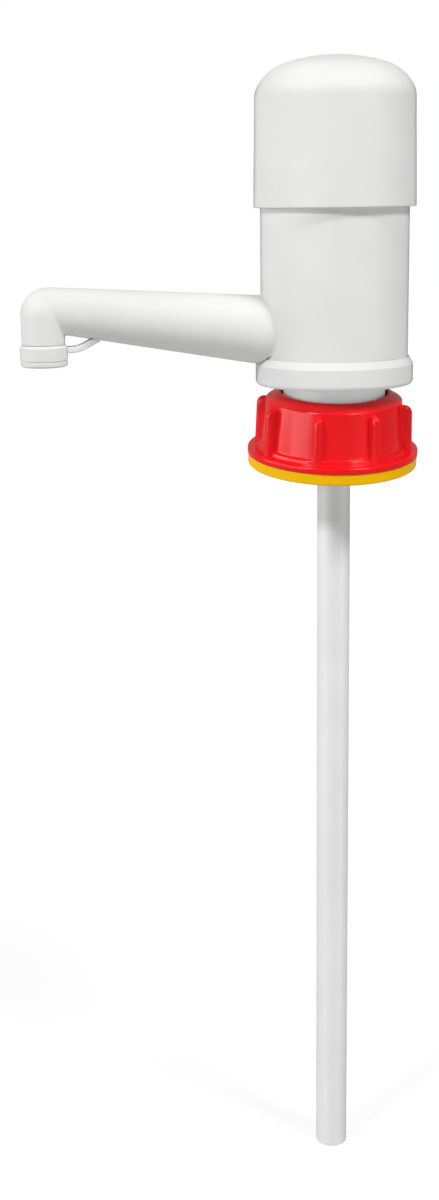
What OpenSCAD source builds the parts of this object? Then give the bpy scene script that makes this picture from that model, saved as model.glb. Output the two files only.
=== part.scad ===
// Hand pump for a canister or drum: a domed push head over a cylinder, a side spout and a screw cap.
// Millimetres. The axis is Z, the spout points to -X, and z = 0 is the canister's rim.

/* [Push cap] */
// Stroke of the push cap
stroke = 30; // [15:1:45]
// Thickness of the skirt at its lower edge
skirt_wall = 2; // [1.6:0.1:4]
// Radial gap between the skirt and the body
skirt_gap = 0.4; // [0.3:0.1:1]
// How much the skirt's radius shrinks from its lower edge to the dome
skirt_draft = 0.6; // [0:0.1:0.8]
// Overlap of the skirt and the body at rest
skirt_lap = 11; // [6:1:20]
// Height from the skirt's edge to the crown, less the stroke
cap_room = 27; // [24:0.1:40]
// Radius of the flat crown
crown_r = 67; // [60:1:140]
// Radius of the dome's shoulder
shoulder_r = 11.3; // [7:0.1:14]
// Thickness of the dome
dome_wall = 2.5; // [1.6:0.1:4]
// Rounding of the skirt's lower edge
skirt_edge = 0.7; // [0.3:0.1:0.9]

/* [Body] */
// Outside diameter of the body
body_d = 59; // [56:0.5:76]
// Thickness of the body's wall
body_wall = 2.4; // [1.6:0.1:3]
// Width of the ledge inside the body that carries the spring
ledge_w = 2.2; // [1.4:0.1:3]

/* [Base collar] */
// How far the collar stands out from the body
collar_step = 2.1; // [1.2:0.1:5]
// Height of the collar's side
collar_h = 8.1; // [6:0.1:16]
// Height of the collar's upper bevel
collar_bevel = 3.4; // [1:0.1:5]
// Thickness of the collar's floor
collar_floor = 3; // [2.4:0.1:4]
// Rounding of the collar's lower edge
collar_round = 2.4; // [0.5:0.1:2.8]

/* [Barrel and piston] */
// Radial room for the return spring, between the barrel's head and the body
spring_room = 6.1; // [4:0.1:8]
// Thickness of the barrel's wall
barrel_wall = 2.2; // [1.6:0.1:2.6]
// Length of the piston
piston_l = 10; // [8:0.5:16]
// Diameter of the piston rod
rod_d = 12; // [9:0.5:16]
// Radial clearance of each sliding fit
slide_fit = 0.05; // [0.02:0.01:0.1]
// Wire of the return spring
spring_wire = 2.2; // [1:0.1:2.6]
// Fitted length of the return spring
spring_l = 66.4; // [58:0.2:72]
// Turns of the return spring
spring_turns = 8.5; // [5:0.5:10]

/* [Spout] */
// Distance from the pump's axis to the outlet's axis
spout_reach = 115.6; // [95:0.1:180]
// Upward slope of the spout, in degrees
spout_rise = 6.6; // [0:0.1:15]
// Diameter of the spout at the body
spout_root_d = 27; // [25:0.1:32]
// Diameter of the spout at its elbow
spout_tip_d = 17.1; // [16.8:0.1:20]
// Thickness of the spout's wall
spout_wall = 3; // [1.8:0.1:3.6]
// Height of the spout's axis above the collar
spout_lift = 10.4; // [7:0.1:16]
// Drop from the elbow's axis to the outlet cap
outlet_drop = 13.6; // [11:0.1:30]
// Diameter of the outlet pipe at the outlet cap
outlet_d = 16.9; // [16.6:0.1:17.6]

/* [Outlet cap] */
// Diameter of the outlet cap
outlet_cap_d = 18.6; // [17.6:0.1:24]
// Height of the outlet cap
outlet_cap_h = 8.4; // [7:0.1:14]
// Width of the strap
strap_w = 6; // [3:0.1:7]
// Thickness of the strap
strap_t = 2.4; // [1.2:0.1:2.6]
// Distance along the spout from the outlet's axis to the strap's root
stud_back = 21.5; // [20:0.5:30]

/* [Screw cap] */
// Diameter of the thread's groove
thread_d = 51.8; // [50:0.1:64]
// Depth of the thread
thread_depth = 1.3; // [0.8:0.1:1.6]
// Pitch of the thread
thread_pitch = 6; // [4:0.5:8]
// Depth of the cap from the canister's rim to its flange
nut_depth = 13; // [12:0.1:24]
// How far the flange stands out from the thread
flange_out = 8.6; // [7.6:0.1:14]
// Thickness of the flange
flange_t = 2.6; // [1.6:0.1:4]
// Number of grip ribs
rib_count = 8; // [4:1:16]
// Width of a grip rib
rib_w = 3.6; // [2.4:0.1:5]
// Height of the ring under the flange
ring_h = 4.4; // [3:0.1:8]
// Thickness of the cap's top at its hole
nut_plate = 3.4; // [2.6:0.1:5]
// Lean of the loose cap on the neck, in degrees
nut_tilt = 7; // [0:0.5:7]

/* [Neck and dip tube] */
// Outside diameter of the neck
neck_d = 40.9; // [40:0.1:42]
// Length of neck between the screw cap and the collar
neck_show = 6.2; // [6:0.1:12]
// Thickness of the neck's lower flange
neck_flange_t = 3; // [2:0.1:5]
// Thickness of the flat gasket
gasket_t = 2.5; // [1.5:0.1:4]
// Thickness of the slip washer
washer_t = 0.8; // [0.5:0.1:1.5]
// Outside diameter of the dip tube
tube_d = 13.4; // [10:0.1:14]
// Thickness of the dip tube's wall
tube_wall = 1.5; // [1:0.1:2]
// Length of the dip tube below the canister's rim
tube_l = 323; // [150:1:900]
// Length of the tube's socket below the canister's rim
socket_l = 12; // [8:0.5:12]

/* [Valves] */
// Diameter of the inlet ball
inlet_ball_d = 10; // [9:0.1:11]
// Lift of the inlet ball
inlet_lift = 4; // [3:0.1:6]
// Diameter of the outlet ball
outlet_ball_d = 10; // [9:0.1:11]
// Opening travel of the outlet ball
outlet_lift = 3; // [1:0.1:4]

/* [Hidden] */

$fn = 96;
// Overshoot of every cutting solid
over = 1;
// Gap between flat faces of neighbouring pieces
face_gap = 0.05;
// Gap at rest between a spring and its seat
seat_gap = 0.3;
// Gap between curved faces that pass each other
run_gap = 0.3;

// Radii about the pump's axis
body_r = body_d / 2;
shell_in_r = body_r - body_wall;
cap_in_r = body_r + skirt_gap;
cap_r = cap_in_r + skirt_wall;
cap_top_r = cap_r - skirt_draft;
collar_r = body_r + collar_step;
collar_in_r = body_r + 2 * face_gap;
head_wall = 2;
head_r = shell_in_r - spring_room;
barrel_out_r = head_r - head_wall;
barrel_r = barrel_out_r - barrel_wall;
rod_r = rod_d / 2;
neck_r = neck_d / 2;
neck_step = 1.95;
barrel_lip = 0.5;
neck_top_r = min(neck_r - neck_step, barrel_out_r - barrel_lip);
thread_r = thread_d / 2;
crest_r = thread_r - thread_depth;
flange_r = crest_r - run_gap;
nut_hole_gap = 0.95;
nut_hole_r = neck_r + nut_hole_gap;
tube_r = tube_d / 2;
tube_step = 0.2;
tube_end_r = tube_r - tube_step;
socket_wall = 4.3;
socket_r = tube_r + socket_wall;

// Levels from the canister's rim up to the collar
flange_top = gasket_t + neck_flange_t;
washer_z = flange_top + face_gap;
nut_under = washer_z + washer_t + face_gap;
nut_top = nut_under + nut_plate;
collar_z = nut_top + neck_show;
floor_top = collar_z + collar_floor;
collar_edge_z = collar_z + collar_h;
collar_top = collar_edge_z + collar_bevel;
clip_t = 1.5;
clip_groove = 1.3;

// Inlet valve in the neck
inlet_ball_r = inlet_ball_d / 2;
inlet_hole_r = inlet_ball_r - 1.2;
inlet_cone = 0.8;
chamber_z = floor_top - 10;
chamber_r = inlet_ball_r + 3;
inlet_ball_z = chamber_z - inlet_cone + sqrt(inlet_ball_r ^ 2 - inlet_hole_r ^ 2) + face_gap;
cage_z = floor_top - 2;
cage_r = neck_top_r - 3;
cage_t = 2;
cage_wall = 1.7;
cage_room = 0.5;
neck_top = inlet_ball_z + inlet_ball_r + inlet_lift + cage_room + cage_t;
tube_stop = 2;

// Levels of the barrel, the piston and the push cap at rest
port_r = 4;
port_gap = 1;
port_z = collar_top + spout_lift;
piston_z = port_z + port_r + port_gap + stroke;
piston_top = piston_z + piston_l;
head_sleeve = 5.7;
head_plate = 4;
barrel_z = neck_top;
barrel_top = piston_top + seat_gap + head_sleeve;
head_top = barrel_top + head_plate;
shell_rise = 3;
shell_top = head_top + shell_rise;
skirt_z = shell_top - skirt_lap;
crown_z = skirt_z + stroke + cap_room;
boss_gap = 4;
boss_z = head_top + stroke + boss_gap;
seat_t = 2;
spring_top = boss_z - seat_gap;
spring_z = spring_top - spring_l;
ledge_z = spring_z - seat_gap - seat_t;
spring_r = (head_r + shell_in_r) / 2;

// Grooves, seals and the piston's fixing
seal_h = 2.4;
seal_depth = 2;
seal_low = piston_z + 1.6;
band_low = piston_top - 1.2 - seal_h;
wiper_h = 2.2;
wiper_r = rod_r + 2.2;
groove_w = 1.2;
groove_depth = 1;
ring_wire = 0.9;
barrel_seal_r = (cage_r + neck_top_r) / 2 + 0.2;
base_seal_r = (shell_in_r + body_r) / 2;
rod_spigot_r = rod_r - 2;
rod_spigot_z = piston_z + 4;
piston_screw_r = 2;
rod_socket_roof = 3;

// Spout: stations s run outwards from the pump's axis along -X
plug_r = 9.4;
root_r = spout_root_d / 2;
tip_r = spout_tip_d / 2;
arm_run = spout_reach - body_r;
taper = (tip_r - root_r) / arm_run;
function arm_r(s) = root_r + taper * (s - body_r);
function arm_z(s) = port_z + (s - body_r) * tan(spout_rise);
elbow_z = arm_z(spout_reach);
outlet_r = outlet_d / 2;
outlet_shoulder = elbow_z - outlet_drop;
outlet_cap_r = outlet_cap_d / 2;
outlet_cap_top = outlet_shoulder - 2 * face_gap;
outlet_cap_z = outlet_cap_top - outlet_cap_h;
cap_floor = 1.6;
liner_t = 0.8;
liner_z = outlet_cap_z + cap_floor;
spigot_step = 0.75;
spigot_wall = 1.5;
spigot_r = outlet_r - spigot_step;
spigot_z = liner_z + liner_t + face_gap;
spigot_bore_r = spigot_r - spigot_wall;
saddle_back = 5;
elbow_swell = 0.25;
trim_gap = 0.25;

// Outlet valve in the spout's root, by station
outlet_ball_r = outlet_ball_d / 2;
boss_floor_s = barrel_out_r + 1.5;
valve_seat_t = 2;
plug_s = boss_floor_s + valve_seat_t + face_gap;
outlet_ball_s = boss_floor_s + valve_seat_t + sqrt(outlet_ball_r ^ 2 - port_r ^ 2) + face_gap;
valve_wire = 0.8;
valve_spring_r = outlet_ball_r - 0.8;
valve_spring_s = outlet_ball_s + sqrt(outlet_ball_r ^ 2 - (valve_spring_r - valve_wire / 2) ^ 2) + seat_gap;
valve_spring_l = outlet_lift + 6;
web_s = valve_spring_s + valve_spring_l + seat_gap;
web_t = 2;
plug_bore_r = outlet_ball_r + 1.4;
web_hole_r = valve_spring_r - 0.9;
groove_s = plug_s + 0.65;
seal_wire = 1.1;

// Strap: points [s, z] from its root in the spout's underside to the outlet cap
under_angle = spout_rise + atan(-taper * cos(spout_rise));
function under(s) = [s + arm_r(s) * sin(spout_rise), arm_z(s) - arm_r(s) * cos(spout_rise)];
strap_inset = 0.85;
strap_reach = 4;
strap_soft = 1.7;
strap_sunk = 4;
strap_z = outlet_cap_top - strap_inset - strap_t / 2;
stud_at = under(spout_reach - stud_back);
strap_knee = [spout_reach - outlet_cap_r - strap_reach, strap_z];
strap_root = stud_at + strap_sunk * (stud_at - strap_knee) / norm(stud_at - strap_knee);
strap_end = [spout_reach - outlet_cap_r + over, strap_z];
stud_r = 0.9;
stud_up = 2.2;
stud_down = 0.5;

// Screw cap
nut_wall_r = thread_r + 1.5;
nut_foot_r = thread_r + 3;
rib_r = thread_r + 6;
nut_flange_r = thread_r + flange_out;
nut_edge_z = nut_top - 2.9;
flange_z = -nut_depth;
flange_under = flange_z - flange_t;
ring_r = nut_flange_r - 0.3;
rib_phase = 21.5;
thread_from = -5.4;
nut_pivot_y = 1.2 - nut_wall_r;
nut_pivot_z = nut_under + nut_plate / 2 - nut_pivot_y * tan(nut_tilt / 2);

white = [0.94, 0.94, 0.93];
natural = [0.88, 0.89, 0.88];
red = [0.9, 0.1, 0.12];
yellow = [0.98, 0.74, 0.05];
steel = [0.72, 0.73, 0.75];
rubber = [0.12, 0.12, 0.13];

// Points along an arc of radius r about c, from angle a to angle b
function arc(c, r, a, b, n = 8) =
    [for (i = [0 : n]) c + r * [cos(a + (b - a) * i / n), sin(a + (b - a) * i / n)]];

// A solid of revolution from an outline of [radius, z] points
module turned(outline) {
    rotate_extrude()
        polygon(outline);
}

module ring(outer, inner, z, top) {
    difference() {
        translate([0, 0, z])
            cylinder(h = top - z, r = outer);
        translate([0, 0, z - over])
            cylinder(h = top - z + 2 * over, r = inner);
    }
}

module o_ring(r, wire, z) {
    translate([0, 0, z])
        rotate_extrude()
            translate([r, 0])
                circle(d = wire, $fn = 32);
}

// Turns a child's +Z axis outwards along the spout, at station s and height z
module outwards(s, z) {
    translate([-s, 0, z])
        rotate([0, -90, 0])
            children();
}

// Helix with two close end turns: point at turn t of n, over length l
function coil_z(t, n, l, wire) =
    let (close = wire + 0.9, open = (l - wire - 2 * close) / (n - 2))
        t < 1 ? close * t : t > n - 1 ? l - wire - close * (n - t) : close + open * (t - 1);
function coil_point(t, n, l, r, wire) =
    [r * cos(360 * t), r * sin(360 * t), wire / 2 + coil_z(t, n, l, wire)];

// Least clear gap between the turns of a helix, measured on its points
function coil_gap(n, l, r, wire, steps) =
    let (p = [for (i = [0 : n * steps]) coil_point(i / steps, n, l, r, wire)])
        min([for (i = [0 : len(p) - 1], j = [i + steps - 2 : len(p) - 1])
            if (j < len(p)) norm(p[i] - p[j])]) - wire;

module coil(n, l, r, wire) {
    steps = 8;
    sides = 6;
    last = n * steps;
    points = [
        for (i = [0 : last], k = [0 : sides - 1])
            let (
                turn = i / steps,
                c = coil_point(turn, n, l, r, wire),
                a = 360 * turn,
                b = 360 * k / sides
            )
            c + wire / 2 * [cos(b) * cos(a), cos(b) * sin(a), sin(b)]
    ];
    walls = [
        for (i = [0 : last - 1], k = [0 : sides - 1], half = [0, 1])
            let (a = i * sides + k, b = i * sides + (k + 1) % sides)
            half == 0 ? [a, a + sides, b] : [b, a + sides, b + sides]
    ];
    start = [for (k = [1 : sides - 2]) [0, k, k + 1]];
    end = [for (k = [1 : sides - 2]) [last * sides, last * sides + k + 1, last * sides + k]];
    polyhedron(points = points, faces = concat(walls, start, end));
}

// Outline of the dome from its shoulder to its crown, with the outside at radius r
function dome(r, crown, shoulder, top) =
    let (
        lean = asin((r - shoulder) / (crown - shoulder)),
        base = top - crown + (crown - shoulder) * cos(lean)
    )
    concat(
        arc([r - shoulder, base], shoulder, 0, 90 - lean, 10),
        [for (i = [1 : 12]) [crown * sin(lean * (1 - i / 12)), top - crown + crown * cos(lean * (1 - i / 12))]]
    );

module push_cap() {
    inner_crown = crown_r - dome_wall;
    inner_shoulder = shoulder_r - skirt_wall + skirt_draft;
    inner_top = crown_z - dome_wall;
    boss_r = rod_r + 4;
    rib_half = spring_wire / 2 + 0.6;
    color(white)
    difference() {
        union() {
            difference() {
                turned(concat(
                    [[0, skirt_z]],
                    arc([cap_r - skirt_edge, skirt_z + skirt_edge], skirt_edge, -90, 0),
                    dome(cap_top_r, crown_r, shoulder_r, crown_z)
                ));
                turned(concat(
                    [[0, skirt_z - over], [cap_in_r, skirt_z - over]],
                    dome(cap_in_r, inner_crown, inner_shoulder, inner_top)
                ));
            }
            intersection() {
                turned(concat(
                    [[0, skirt_z]],
                    [[cap_top_r - dome_wall / 2, skirt_z]],
                    dome(cap_top_r - dome_wall / 2, crown_r, shoulder_r, crown_z - dome_wall / 2)
                ));
                union() {
                    translate([0, 0, boss_z])
                        cylinder(h = crown_z - boss_z, r = boss_r);
                    ring(spring_r + rib_half, spring_r - rib_half, boss_z, crown_z);
                }
            }
        }
        translate([0, 0, boss_z - over])
            cylinder(h = inner_top - rod_socket_roof - boss_z + over, r = rod_r + face_gap);
    }
}

module piston_rod() {
    color(white)
    difference() {
        union() {
            translate([0, 0, piston_top])
                cylinder(h = crown_z - dome_wall - rod_socket_roof - face_gap - piston_top, r = rod_r);
            translate([0, 0, rod_spigot_z])
                cylinder(h = piston_top - rod_spigot_z, r = rod_spigot_r);
        }
        translate([0, 0, piston_z])
            cylinder(h = piston_l + 6, r = piston_screw_r);
    }
}

module piston() {
    color(natural)
    difference() {
        translate([0, 0, piston_z])
            cylinder(h = piston_l, r = barrel_r - slide_fit);
        translate([0, 0, piston_z - over])
            cylinder(h = piston_l + 2 * over, r = rod_spigot_r + face_gap);
        translate([0, 0, piston_z - over])
            cylinder(h = rod_spigot_z - piston_z + over - face_gap, r = rod_spigot_r + 1);
        ring(barrel_r + over, barrel_r - seal_depth, seal_low - face_gap, seal_low + seal_h + face_gap);
        ring(barrel_r + over, barrel_r - seal_depth, band_low - face_gap, band_low + seal_h + face_gap);
    }
}

module piston_seal() {
    color(rubber)
    turned([
        [barrel_r - seal_depth + face_gap, seal_low],
        [barrel_r - 0.9, seal_low],
        [barrel_r - slide_fit, seal_low - face_gap / 2],
        [barrel_r - slide_fit, seal_low + 0.6],
        [barrel_r - 0.5, seal_low + seal_h],
        [barrel_r - seal_depth + face_gap, seal_low + seal_h]
    ]);
}

module piston_band() {
    color(natural)
    difference() {
        ring(barrel_r - slide_fit, barrel_r - seal_depth + face_gap, band_low, band_low + seal_h);
        rotate([0, 0, 60])
            translate([0, -0.5, band_low - over])
                cube([barrel_r + over, 1, seal_h + 2 * over]);
    }
}

module piston_screw() {
    head_z = piston_z + 1;
    color(steel)
    difference() {
        union() {
            translate([0, 0, head_z])
                cylinder(h = rod_spigot_z - head_z - 2 * face_gap, r = rod_spigot_r + 0.6);
            translate([0, 0, head_z])
                cylinder(h = piston_l + 3, r = piston_screw_r - face_gap);
        }
        translate([0, 0, head_z - over])
            cylinder(h = 1.6 + over, r = 1.6, $fn = 6);
    }
}

module return_spring() {
    color(steel)
    translate([0, 0, spring_z])
        coil(spring_turns, spring_l, spring_r, spring_wire);
}

module spring_seat() {
    color(natural)
    ring(shell_in_r - 2 * face_gap, head_r + 0.6, ledge_z, ledge_z + seat_t);
}

module body_shell() {
    lip = 0.8;
    color(white)
    difference() {
        turned(concat(
            [[shell_in_r, floor_top], [body_r, floor_top]],
            arc([body_r - lip, shell_top - lip], lip, 0, 90, 4),
            [
                [shell_in_r, shell_top],
                [shell_in_r, ledge_z],
                [shell_in_r - ledge_w, ledge_z],
                [shell_in_r - ledge_w, ledge_z - 1],
                [shell_in_r, ledge_z - 1 - ledge_w]
            ]
        ));
        outwards(barrel_out_r, port_z)
            cylinder(h = body_r, r = plug_r + face_gap);
    }
}

module pump_barrel() {
    lip_r = cage_r - 1;
    lip_t = 2;
    foot_r = shell_in_r - 0.2;
    boss_r = plug_r + 2.4;
    color(natural)
    difference() {
        union() {
            ring(barrel_out_r, lip_r, barrel_z, barrel_z + lip_t);
            ring(barrel_out_r, barrel_r, barrel_z + lip_t, barrel_top);
            ring(foot_r, barrel_r, barrel_z + lip_t, barrel_z + lip_t + 2.4);
            intersection() {
                outwards(0, port_z)
                    cylinder(h = body_r, r = boss_r);
                ring(shell_in_r - run_gap, barrel_r, barrel_z + lip_t, barrel_top);
            }
        }
        outwards(boss_floor_s, port_z)
            cylinder(h = body_r, r = plug_r + 2 * face_gap);
        outwards(0, port_z)
            cylinder(h = body_r, r = port_r);
    }
}

module barrel_head() {
    sleeve_r = rod_r + 4;
    vent_r = 1.5;
    color(white)
    difference() {
        union() {
            ring(head_r, barrel_out_r + face_gap, barrel_top - head_sleeve, barrel_top);
            translate([0, 0, barrel_top])
                cylinder(h = head_plate, r = head_r);
            translate([0, 0, barrel_top - head_sleeve])
                cylinder(h = head_sleeve, r = sleeve_r);
        }
        translate([0, 0, barrel_top - head_sleeve - over])
            cylinder(h = head_sleeve + head_plate + 2 * over, r = rod_r + slide_fit);
        translate([0, 0, head_top - wiper_h])
            cylinder(h = wiper_h + over, r = wiper_r + face_gap);
        for (a = [0, 180])
            rotate([0, 0, a])
                translate([(sleeve_r + barrel_r) / 2, 0, barrel_top - over])
                    cylinder(h = head_plate + 2 * over, r = vent_r);
    }
}

module rod_wiper() {
    color(rubber)
    ring(wiper_r, rod_r + slide_fit, head_top - wiper_h + face_gap, head_top - face_gap);
}

module barrel_seal() {
    color(rubber)
    o_ring(barrel_seal_r, ring_wire, neck_top - groove_depth / 2);
}

module base_seal() {
    color(rubber)
    o_ring(base_seal_r, ring_wire, floor_top - groove_depth / 2);
}

module base_collar() {
    color(white)
    difference() {
        turned(concat(
            [[neck_top_r + 2 * face_gap, collar_z]],
            arc([collar_r - collar_round, collar_z + collar_round], collar_round, -90, 0),
            [
                [collar_r, collar_edge_z],
                [collar_in_r, collar_top],
                [collar_in_r, floor_top],
                [neck_top_r + 2 * face_gap, floor_top]
            ]
        ));
        ring(
            base_seal_r + groove_w / 2,
            base_seal_r - groove_w / 2,
            floor_top - groove_depth,
            floor_top + over
        );
    }
}

module inlet_neck() {
    wall = 3;
    pocket_top = cage_z - 4;
    clip_z = floor_top + face_gap;
    vent_r = 0.8;
    color(white)
    difference() {
        turned([
            [tube_end_r + face_gap, -socket_l],
            [socket_r, -socket_l],
            [socket_r, pocket_top],
            [neck_r - wall, pocket_top],
            [neck_r - wall, gasket_t],
            [flange_r, gasket_t],
            [flange_r, flange_top],
            [neck_r, flange_top],
            [neck_r, collar_z],
            [neck_top_r, collar_z],
            [neck_top_r, clip_z],
            [neck_top_r - clip_groove, clip_z],
            [neck_top_r - clip_groove, clip_z + clip_t + 2 * face_gap],
            [neck_top_r, clip_z + clip_t + 2 * face_gap],
            [neck_top_r, neck_top],
            [barrel_seal_r + groove_w / 2, neck_top],
            [barrel_seal_r + groove_w / 2, neck_top - groove_depth],
            [barrel_seal_r - groove_w / 2, neck_top - groove_depth],
            [barrel_seal_r - groove_w / 2, neck_top],
            [cage_r, neck_top],
            [cage_r, cage_z],
            [chamber_r, cage_z],
            [chamber_r, chamber_z],
            [inlet_hole_r + inlet_cone, chamber_z],
            [inlet_hole_r, chamber_z - inlet_cone],
            [inlet_hole_r, tube_stop],
            [tube_end_r + face_gap, tube_stop]
        ]);
        translate([0, neck_r - wall - over, nut_top + neck_show / 2])
            rotate([-90, 0, 0])
                cylinder(h = wall + 2 * over, r = vent_r);
    }
}

module neck_clip() {
    gap_w = 7;
    color(steel)
    difference() {
        ring(
            neck_top_r + 2.4,
            neck_top_r - clip_groove + face_gap,
            floor_top + 2 * face_gap,
            floor_top + 2 * face_gap + clip_t
        );
        translate([0, -gap_w / 2, floor_top])
            cube([neck_r + 2 * over, gap_w, 2 * clip_t]);
    }
}

module inlet_cage() {
    prong_w = 1.6;
    prong_in = inlet_ball_r + run_gap;
    prong_z = chamber_z + 4;
    flow_room = cage_r - cage_wall - chamber_r;
    flow_r = 0.38 * flow_room;
    flow_at = chamber_r + flow_room / 2;
    color(natural)
    difference() {
        union() {
            translate([0, 0, neck_top - cage_t])
                cylinder(h = cage_t - face_gap, r = cage_r - 2 * face_gap);
            ring(cage_r - 2 * face_gap, cage_r - cage_wall, cage_z + face_gap, neck_top - cage_t / 2);
            for (a = [45 : 90 : 315])
                rotate([0, 0, a])
                    translate([prong_in, -prong_w / 2, prong_z])
                        cube([chamber_r - run_gap - prong_in, prong_w, neck_top - cage_t / 2 - prong_z]);
        }
        for (a = [0 : 60 : 300])
            rotate([0, 0, a])
                translate([flow_at, 0, neck_top - cage_t - over])
                    cylinder(h = cage_t + 2 * over, r = flow_r);
    }
}

module inlet_ball() {
    color(steel)
    translate([0, 0, inlet_ball_z])
        sphere(r = inlet_ball_r);
}

// The spout's tapered arm from station s, with its radius changed by grow
module arm(s, grow) {
    translate([-s, 0, arm_z(s)])
        rotate([0, spout_rise - 90, 0])
            cylinder(h = (spout_reach - s) / cos(spout_rise), r1 = arm_r(s) + grow, r2 = tip_r + grow);
}

module outlet_pipe(z, low_r, high_r) {
    translate([-spout_reach, 0, z])
        cylinder(h = elbow_z - z, r1 = low_r, r2 = high_r);
}

module spout() {
    root_s = body_r - saddle_back;
    color(white)
    difference() {
        union() {
            difference() {
                arm(root_s, 0);
                translate([0, 0, collar_z])
                    cylinder(h = elbow_z, r = body_r + face_gap);
                translate([0, 0, collar_edge_z])
                    cylinder(h = collar_bevel, r1 = collar_r + trim_gap, r2 = body_r + trim_gap);
                translate([-spout_reach, -root_r, 0])
                    cube([spout_reach, 2 * root_r, collar_edge_z + trim_gap]);
            }
            translate([-spout_reach, 0, elbow_z])
                sphere(r = tip_r + elbow_swell);
            outlet_pipe(outlet_shoulder, outlet_r, tip_r);
            outlet_pipe(spigot_z, spigot_r, spigot_r);
            outwards(plug_s, port_z)
                cylinder(h = body_r + saddle_back - plug_s, r = plug_r);
        }
        arm(web_s + web_t, -spout_wall);
        translate([-spout_reach, 0, elbow_z])
            sphere(r = tip_r - spout_wall + elbow_swell);
        outlet_pipe(spigot_z - over, spigot_bore_r, tip_r - spout_wall);
        outwards(plug_s - over, port_z)
            cylinder(h = web_s - plug_s + over, r = plug_bore_r);
        outwards(web_s - over, port_z)
            cylinder(h = web_t + 3 * over, r = web_hole_r);
        outwards(groove_s, port_z)
            ring(plug_r + over, plug_r - seal_wire - face_gap, 0, seal_wire + 2 * face_gap);
        stud_place()
            translate([0, 0, -over])
                cylinder(h = over + stud_up + face_gap, r = stud_r + face_gap);
    }
}

// Frame at the strap's root on the spout's underside, with +Z up into the spout
module stud_place() {
    translate([-stud_at[0], 0, stud_at[1]])
        rotate([0, under_angle, 0])
            children();
}

module spout_seal() {
    color(rubber)
    outwards(groove_s + face_gap + seal_wire / 2, port_z)
        o_ring(plug_r - seal_wire / 2 + face_gap / 2, seal_wire - face_gap, 0);
}

module outlet_seat() {
    color(natural)
    outwards(boss_floor_s, port_z)
        ring(plug_r, port_r, face_gap, valve_seat_t);
}

module outlet_ball() {
    color(steel)
    translate([-outlet_ball_s, 0, port_z])
        sphere(r = outlet_ball_r);
}

module outlet_spring() {
    color(steel)
    outwards(valve_spring_s, port_z)
        coil(4, valve_spring_l, valve_spring_r, valve_wire);
}

module outlet_cap() {
    edge = 0.8;
    foot = 1.6;
    groove_z = outlet_cap_z + 2.3;
    groove = 0.35;
    color(white)
    translate([-spout_reach, 0, 0])
        turned(concat(
            [[0, outlet_cap_z]],
            arc([outlet_cap_r - foot, outlet_cap_z + foot], foot, -90, 0, 6),
            [
                [outlet_cap_r, groove_z - groove],
                [outlet_cap_r - groove, groove_z],
                [outlet_cap_r, groove_z + groove],
                [outlet_cap_r, outlet_cap_top - edge],
                [outlet_cap_r - edge, outlet_cap_top],
                [spigot_r + slide_fit, outlet_cap_top],
                [spigot_r + slide_fit, liner_z],
                [0, liner_z]
            ]
        ));
}

module cap_liner() {
    color(rubber)
    translate([-spout_reach, 0, liner_z])
        cylinder(h = liner_t, r = spigot_r - 0.2);
}

// A soft corner at b on the way from a to c, starting d before it
function corner(a, b, c, d) =
    let (from = b + d * (a - b) / norm(a - b), to = b + d * (c - b) / norm(c - b))
        [for (i = [0 : 5]) let (u = i / 5) (1 - u) ^ 2 * from + 2 * u * (1 - u) * b + u ^ 2 * to];

// Point i of a path, moved sideways by h
function beside(path, i, h) =
    let (
        last = len(path) - 1,
        a = path[min(i, last - 1) + 1] - path[min(i, last - 1)],
        b = path[max(i, 1)] - path[max(i, 1) - 1],
        both = a / norm(a) + b / norm(b),
        lean = 1 + (a * b) / (norm(a) * norm(b))
    )
    path[i] + h * [-both[1], both[0]] / lean;

module cap_strap() {
    path = concat([strap_root], corner(strap_root, strap_knee, strap_end, strap_soft), [strap_end]);
    last = len(path) - 1;
    outline = concat(
        [for (i = [0 : last]) beside(path, i, strap_t / 2)],
        [for (i = [last : -1 : 0]) beside(path, i, -strap_t / 2)]
    );
    color(white)
    difference() {
        rotate([90, 0, 0])
            linear_extrude(strap_w, center = true)
                polygon([for (q = outline) [-q[0], q[1]]]);
        arm(body_r, face_gap);
        stud_place()
            translate([0, 0, -stud_down - face_gap])
                cylinder(h = stud_down + over, r = stud_r + face_gap);
        translate([-spout_reach, 0, outlet_cap_z - over])
            cylinder(h = outlet_cap_h + 2 * over, r = outlet_cap_r + face_gap);
    }
}

// Hidden dowel between the strap's root and the spout
module strap_stud() {
    color(white)
    stud_place()
        translate([0, 0, -stud_down])
            cylinder(h = stud_down + stud_up, r = stud_r);
}

module flat_gasket() {
    color(rubber)
    ring(flange_r, neck_r - 2.4, 0, gasket_t);
}

module slip_washer() {
    color(natural)
    ring(thread_r - 2.7, neck_r + run_gap, washer_z, washer_z + washer_t);
}

// The loose screw cap, raised at the back about a line across its front edge
module nut_place() {
    translate([0, nut_pivot_y, nut_pivot_z])
        rotate([nut_tilt, 0, 0])
            translate([0, -nut_pivot_y, -nut_pivot_z])
                children();
}

// One grip rib along +X: its side view, rounded at the corners in plan
module nut_rib() {
    crest = 3;
    round_r = 1.1;
    foot_out = 0.5;
    top = nut_edge_z - 1;
    intersection() {
        rotate([90, 0, 0])
            linear_extrude(rib_w, center = true)
                polygon(concat(
                    [[nut_wall_r - 1, flange_z - 1], [rib_r + foot_out, flange_z - 1]],
                    arc([rib_r - crest, top - crest], crest, 0, 90),
                    [[nut_wall_r - 1, top]]
                ));
        translate([0, 0, flange_z - 1])
            linear_extrude(nut_top - flange_z + 1)
                polygon(concat(
                    [[nut_wall_r - 2, -rib_w / 2]],
                    arc([rib_r + foot_out - round_r, round_r - rib_w / 2], round_r, -90, 0, 5),
                    arc([rib_r + foot_out - round_r, rib_w / 2 - round_r], round_r, 0, 90, 5),
                    [[nut_wall_r - 2, rib_w / 2]]
                ));
    }
}

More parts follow.
